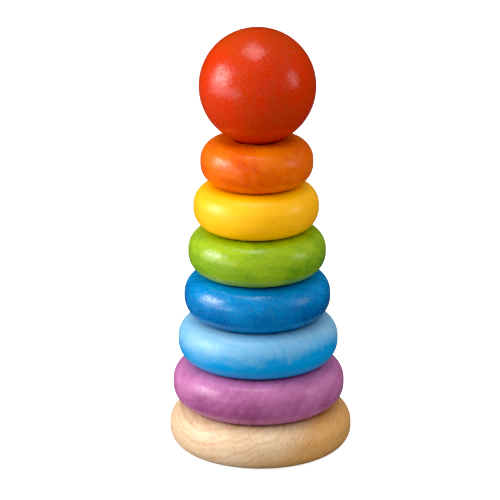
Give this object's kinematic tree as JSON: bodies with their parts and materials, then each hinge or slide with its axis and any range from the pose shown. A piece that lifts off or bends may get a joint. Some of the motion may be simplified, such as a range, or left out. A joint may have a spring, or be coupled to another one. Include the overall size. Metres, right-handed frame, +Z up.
{
  "type": "wooden stacking ring toy",
  "caption": "Turned wooden stacking toy: a conical stack of coloured rings and a ball on a dowel post that stands on a rounded natural wood base.",
  "frame": {"origin": "centre of the base's flat underside, on the axis of the post", "axes": "+Z up along the post, from the base to the ball; -Y is the front, and +X is to the right seen from the front"},
  "size_m": [0.092, 0.092, 0.2155],
  "materials": {
    "natural_wood": "clear satin lacquer on pale rubberwood",
    "post_wood": "sanded and oiled beech dowel",
    "screw_steel": "zinc-plated steel",
    "purple_wood": "satin purple stained wood, the grain showing through",
    "light_blue_wood": "satin light blue stained wood, the grain showing through",
    "blue_wood": "satin blue stained wood, the grain showing through",
    "green_wood": "satin green stained wood, the grain showing through",
    "yellow_wood": "satin yellow stained wood, the grain showing through",
    "orange_wood": "satin orange stained wood, the grain showing through",
    "red_wood": "satin red stained wood, the grain showing through"
  },
  "bodies": {
    "stand": {"base_disc": "natural_wood", "post": "post_wood", "post_screw": "screw_steel"},
    "purple_ring_body": {"purple_ring": "purple_wood"},
    "light_blue_ring_body": {"light_blue_ring": "light_blue_wood"},
    "blue_ring_body": {"blue_ring": "blue_wood"},
    "green_ring_body": {"green_ring": "green_wood"},
    "yellow_ring_body": {"yellow_ring": "yellow_wood"},
    "orange_ring_body": {"orange_ring": "orange_wood"},
    "red_ball_body": {"red_ball": "red_wood"}
  },
  "joints": [
    {"name": "purple_ring_lift", "type": "slide", "parent": "stand", "child": "purple_ring_body", "axis": [0, 0, 1], "range_m": [0, 0.168]},
    {"name": "light_blue_ring_lift", "type": "slide", "parent": "purple_ring_body", "child": "light_blue_ring_body", "axis": [0, 0, 1], "range_m": [0, 0.145]},
    {"name": "blue_ring_lift", "type": "slide", "parent": "light_blue_ring_body", "child": "blue_ring_body", "axis": [0, 0, 1], "range_m": [0, 0.122]},
    {"name": "green_ring_lift", "type": "slide", "parent": "blue_ring_body", "child": "green_ring_body", "axis": [0, 0, 1], "range_m": [0, 0.099]},
    {"name": "yellow_ring_lift", "type": "slide", "parent": "green_ring_body", "child": "yellow_ring_body", "axis": [0, 0, 1], "range_m": [0, 0.076]},
    {"name": "orange_ring_lift", "type": "slide", "parent": "yellow_ring_body", "child": "orange_ring_body", "axis": [0, 0, 1], "range_m": [0, 0.053]},
    {"name": "red_ball_lift", "type": "slide", "parent": "orange_ring_body", "child": "red_ball_body", "axis": [0, 0, 1], "range_m": [0, 0.032]}
  ]
}
